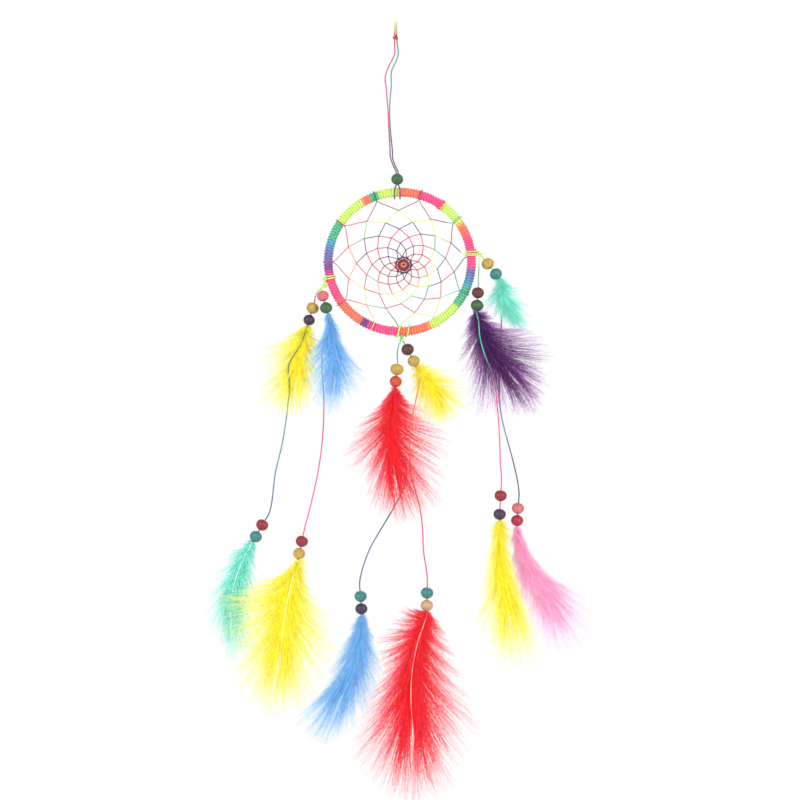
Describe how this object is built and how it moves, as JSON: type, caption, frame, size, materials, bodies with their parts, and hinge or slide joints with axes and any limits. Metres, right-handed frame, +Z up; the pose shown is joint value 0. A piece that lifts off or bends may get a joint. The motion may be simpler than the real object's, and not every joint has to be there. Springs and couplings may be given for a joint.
{
  "type": "dream catcher",
  "caption": "Hanging dream catcher: a cord-wrapped ring with a woven thread web and a centre bead, and strands of cord with wooden beads and fluffy feathers below.",
  "frame": {"origin": "inside top of the hanging loop, just under the top knot, where a hook or nail would touch it", "axes": "+Z up along the hanging cord, +X to the right and +Y away from the viewer, through the ring"},
  "size_m": [0.2155, 0.018, 0.4571],
  "materials": {
    "hoop_wire": "bright steel wire, fully covered by the winding",
    "ring_winding": "wound two-ply nylon cord, variegated through the rainbow",
    "web_thread": "fine two-ply thread, variegated red, teal, purple and lime",
    "hanging_cord": "two-ply nylon cord, pink red and green, grey purple near the bead",
    "tie_cord": "two-ply nylon cord, lime yellow",
    "bead_ochre": "stained wood with a thin clear lacquer",
    "bead_purple": "stained wood with a thin clear lacquer",
    "bead_rose": "stained wood with a thin clear lacquer",
    "bead_green": "stained wood with a thin clear lacquer",
    "bead_orange": "stained wood with a thin clear lacquer",
    "bead_brown": "stained wood with a thin clear lacquer",
    "bead_teal": "stained wood with a thin clear lacquer",
    "bead_crimson": "stained wood with a thin clear lacquer",
    "bead_magenta": "stained wood with a thin clear lacquer",
    "bead_tan": "stained wood with a thin clear lacquer",
    "feather_yellow": "dyed fluffy down feather",
    "feather_blue": "dyed fluffy down feather",
    "feather_red": "dyed fluffy down feather",
    "feather_purple": "dyed fluffy down feather",
    "feather_aqua": "dyed fluffy down feather",
    "feather_pink": "dyed fluffy down feather",
    "cord_left_outer": "two-ply nylon cord, colour drifting along its length",
    "cord_left_inner": "two-ply nylon cord, colour drifting along its length",
    "cord_middle_left": "two-ply nylon cord, colour drifting along its length",
    "cord_middle_right": "two-ply nylon cord, colour drifting along its length",
    "cord_right_inner": "two-ply nylon cord, colour drifting along its length",
    "cord_right_outer": "two-ply nylon cord, colour drifting along its length"
  },
  "bodies": {
    "hanger": {"hanging_cord": "hanging_cord", "hanging_bead": "bead_green"},
    "hoop": {"ring_core": "hoop_wire", "ring_wrap": "ring_winding", "web": "web_thread", "centre_bead": "bead_crimson", "left_tie": "tie_cord", "bottom_tie": "tie_cord", "right_tie": "tie_cord"},
    "left_knot_body": {"left_knot": "tie_cord"},
    "bottom_knot_body": {"bottom_knot": "tie_cord"},
    "right_knot_body": {"right_knot": "tie_cord"},
    "left_outer_upper": {"left_outer_upper_cord": "cord_left_outer", "left_outer_upper_fixed_bead": "bead_purple", "left_outer_upper_feather": "feather_yellow"},
    "left_outer_upper_loose": {"left_outer_upper_loose_bead": "bead_ochre"},
    "left_outer_lower": {"left_outer_lower_cord": "cord_left_outer", "left_outer_lower_fixed_bead": "bead_teal", "left_outer_lower_feather": "feather_aqua"},
    "left_outer_lower_loose": {"left_outer_lower_loose_bead": "bead_crimson"},
    "left_inner_upper": {"left_inner_upper_cord": "cord_left_inner", "left_inner_upper_fixed_bead": "bead_green", "left_inner_upper_feather": "feather_blue"},
    "left_inner_upper_loose": {"left_inner_upper_loose_bead": "bead_rose"},
    "left_inner_lower": {"left_inner_lower_cord": "cord_left_inner", "left_inner_lower_fixed_bead": "bead_ochre", "left_inner_lower_feather": "feather_yellow"},
    "left_inner_lower_loose": {"left_inner_lower_loose_bead": "bead_crimson"},
    "middle_left_upper": {"middle_left_upper_cord": "cord_middle_left", "middle_left_upper_fixed_bead": "bead_orange", "middle_left_upper_feather": "feather_red"},
    "middle_left_upper_loose": {"middle_left_upper_loose_bead": "bead_ochre"},
    "middle_left_lower": {"middle_left_lower_cord": "cord_middle_left", "middle_left_lower_fixed_bead": "bead_purple", "middle_left_lower_feather": "feather_blue"},
    "middle_left_lower_loose": {"middle_left_lower_loose_bead": "bead_teal"},
    "middle_right_upper": {"middle_right_upper_cord": "cord_middle_right", "middle_right_upper_fixed_bead": "bead_ochre", "middle_right_upper_feather": "feather_yellow"},
    "middle_right_upper_loose": {"middle_right_upper_loose_bead": "bead_brown"},
    "middle_right_lower": {"middle_right_lower_cord": "cord_middle_right", "middle_right_lower_fixed_bead": "bead_tan", "middle_right_lower_feather": "feather_red"},
    "middle_right_lower_loose": {"middle_right_lower_loose_bead": "bead_teal"},
    "right_inner_upper": {"right_inner_upper_cord": "cord_right_inner", "right_inner_upper_fixed_bead": "bead_green", "right_inner_upper_feather": "feather_purple"},
    "right_inner_upper_loose": {"right_inner_upper_loose_bead": "bead_brown"},
    "right_inner_lower": {"right_inner_lower_cord": "cord_right_inner", "right_inner_lower_fixed_bead": "bead_purple", "right_inner_lower_feather": "feather_yellow"},
    "right_inner_lower_loose": {"right_inner_lower_loose_bead": "bead_crimson"},
    "right_outer_upper": {"right_outer_upper_cord": "cord_right_outer", "right_outer_upper_fixed_bead": "bead_teal", "right_outer_upper_feather": "feather_aqua"},
    "right_outer_upper_loose": {"right_outer_upper_loose_bead": "bead_ochre"},
    "right_outer_lower": {"right_outer_lower_cord": "cord_right_outer", "right_outer_lower_fixed_bead": "bead_magenta", "right_outer_lower_feather": "feather_pink"},
    "right_outer_lower_loose": {"right_outer_lower_loose_bead": "bead_rose"}
  },
  "joints": [
    {"name": "hoop_tilt", "type": "hinge", "parent": "hanger", "child": "hoop", "pos_m": [0.0006, 0, -0.0885], "axis": [1, 0, 0], "range_deg": [-45, 45]},
    {"name": "left_sway", "type": "hinge", "parent": "hoop", "child": "left_knot_body", "pos_m": [-0.042, 0, -0.1434], "axis": [0, 1, 0], "range_deg": [-6, 20]},
    {"name": "bottom_sway", "type": "hinge", "parent": "hoop", "child": "bottom_knot_body", "pos_m": [0.0031, 0, -0.175], "axis": [0, 1, 0], "range_deg": [-10, 10]},
    {"name": "right_sway", "type": "hinge", "parent": "hoop", "child": "right_knot_body", "pos_m": [0.0495, 0, -0.1254], "axis": [0, 1, 0], "range_deg": [-20, 3]},
    {"name": "left_outer_upper_swing", "type": "hinge", "parent": "left_knot_body", "child": "left_outer_upper", "pos_m": [-0.042, 0, -0.1434], "axis": [1, 0, 0], "range_deg": [0, 50]},
    {"name": "left_outer_upper_bead_spin", "type": "hinge", "parent": "left_outer_upper", "child": "left_outer_upper_loose", "pos_m": [-0.0494, 0.0022, -0.1567], "axis": [-0.2836, 0, -0.9589], "continuous": true},
    {"name": "left_outer_lower_swing", "type": "hinge", "parent": "left_outer_upper", "child": "left_outer_lower", "pos_m": [-0.05252, 0.001, -0.16725], "axis": [1, 0, 0], "range_deg": [-40, 0]},
    {"name": "left_outer_lower_bead_slide", "type": "slide", "parent": "left_outer_lower", "child": "left_outer_lower_loose", "axis": [0.4824, 0, 0.8759], "range_m": [0, 0.004]},
    {"name": "left_inner_upper_swing", "type": "hinge", "parent": "left_knot_body", "child": "left_inner_upper", "pos_m": [-0.042, 0, -0.1434], "axis": [1, 0, 0], "range_deg": [-50, 0]},
    {"name": "left_inner_upper_bead_spin", "type": "hinge", "parent": "left_inner_upper", "child": "left_inner_upper_loose", "pos_m": [-0.0432, -0.0022, -0.1498], "axis": [0.262, 0, -0.9651], "continuous": true},
    {"name": "left_inner_lower_swing", "type": "hinge", "parent": "left_inner_upper", "child": "left_inner_lower", "pos_m": [-0.04031, -0.001, -0.16047], "axis": [1, 0, 0], "range_deg": [0, 40]},
    {"name": "left_inner_lower_bead_slide", "type": "slide", "parent": "left_inner_lower", "child": "left_inner_lower_loose", "axis": [0.2141, 0, 0.9768], "range_m": [0, 0.004]},
    {"name": "middle_left_upper_swing", "type": "hinge", "parent": "bottom_knot_body", "child": "middle_left_upper", "pos_m": [0.0031, 0, -0.175], "axis": [1, 0, 0], "range_deg": [-50, 0]},
    {"name": "middle_left_upper_bead_spin", "type": "hinge", "parent": "middle_left_upper", "child": "middle_left_upper_loose", "pos_m": [0.0004, -0.0022, -0.193], "axis": [-0.0968, 0, -0.9953], "continuous": true},
    {"name": "middle_left_lower_swing", "type": "hinge", "parent": "middle_left_upper", "child": "middle_left_lower", "pos_m": [-0.00067, -0.001, -0.20398], "axis": [1, 0, 0], "range_deg": [0, 40]},
    {"name": "middle_left_lower_bead_slide", "type": "slide", "parent": "middle_left_lower", "child": "middle_left_lower_loose", "axis": [-0.054, 0, 0.9985], "range_m": [0, 0.004]},
    {"name": "middle_right_upper_swing", "type": "hinge", "parent": "bottom_knot_body", "child": "middle_right_upper", "pos_m": [0.0031, 0, -0.175], "axis": [1, 0, 0], "range_deg": [0, 50]},
    {"name": "middle_right_upper_bead_spin", "type": "hinge", "parent": "middle_right_upper", "child": "middle_right_upper_loose", "pos_m": [0.0067, 0.0022, -0.1812], "axis": [0.4679, 0, -0.8838], "continuous": true},
    {"name": "middle_right_lower_swing", "type": "hinge", "parent": "middle_right_upper", "child": "middle_right_lower", "pos_m": [0.01208, 0.001, -0.19136], "axis": [1, 0, 0], "range_deg": [-40, 0]},
    {"name": "middle_right_lower_bead_slide", "type": "slide", "parent": "middle_right_lower", "child": "middle_right_lower_loose", "axis": [0.0135, 0, 0.9999], "range_m": [0, 0.004]},
    {"name": "right_inner_upper_swing", "type": "hinge", "parent": "right_knot_body", "child": "right_inner_upper", "pos_m": [0.0495, 0, -0.1254], "axis": [1, 0, 0], "range_deg": [-50, 0]},
    {"name": "right_inner_upper_bead_spin", "type": "hinge", "parent": "right_inner_upper", "child": "right_inner_upper_loose", "pos_m": [0.0481, -0.0022, -0.1479], "axis": [-0.0665, 0, -0.9978], "continuous": true},
    {"name": "right_inner_lower_swing", "type": "hinge", "parent": "right_inner_upper", "child": "right_inner_lower", "pos_m": [0.04734, -0.0034, -0.15929], "axis": [1, 0, 0], "range_deg": [-40, 0]},
    {"name": "right_inner_lower_bead_slide", "type": "slide", "parent": "right_inner_lower", "child": "right_inner_lower_loose", "axis": [0.0545, 0, 0.9985], "range_m": [-0.0042, 0.003]},
    {"name": "right_outer_upper_swing", "type": "hinge", "parent": "right_knot_body", "child": "right_outer_upper", "pos_m": [0.0495, 0, -0.1254], "axis": [1, 0, 0], "range_deg": [0, 50]},
    {"name": "right_outer_upper_bead_spin", "type": "hinge", "parent": "right_outer_upper", "child": "right_outer_upper_loose", "pos_m": [0.0541, 0.0022, -0.1305], "axis": [0.6184, 0, -0.7859], "continuous": true},
    {"name": "right_outer_lower_swing", "type": "hinge", "parent": "right_outer_upper", "child": "right_outer_lower", "pos_m": [0.06125, 0.0034, -0.13959], "axis": [1, 0, 0], "range_deg": [0, 40]},
    {"name": "right_outer_lower_bead_slide", "type": "slide", "parent": "right_outer_lower", "child": "right_outer_lower_loose", "axis": [0.0683, 0, 0.9977], "range_m": [0, 0.004]}
  ]
}
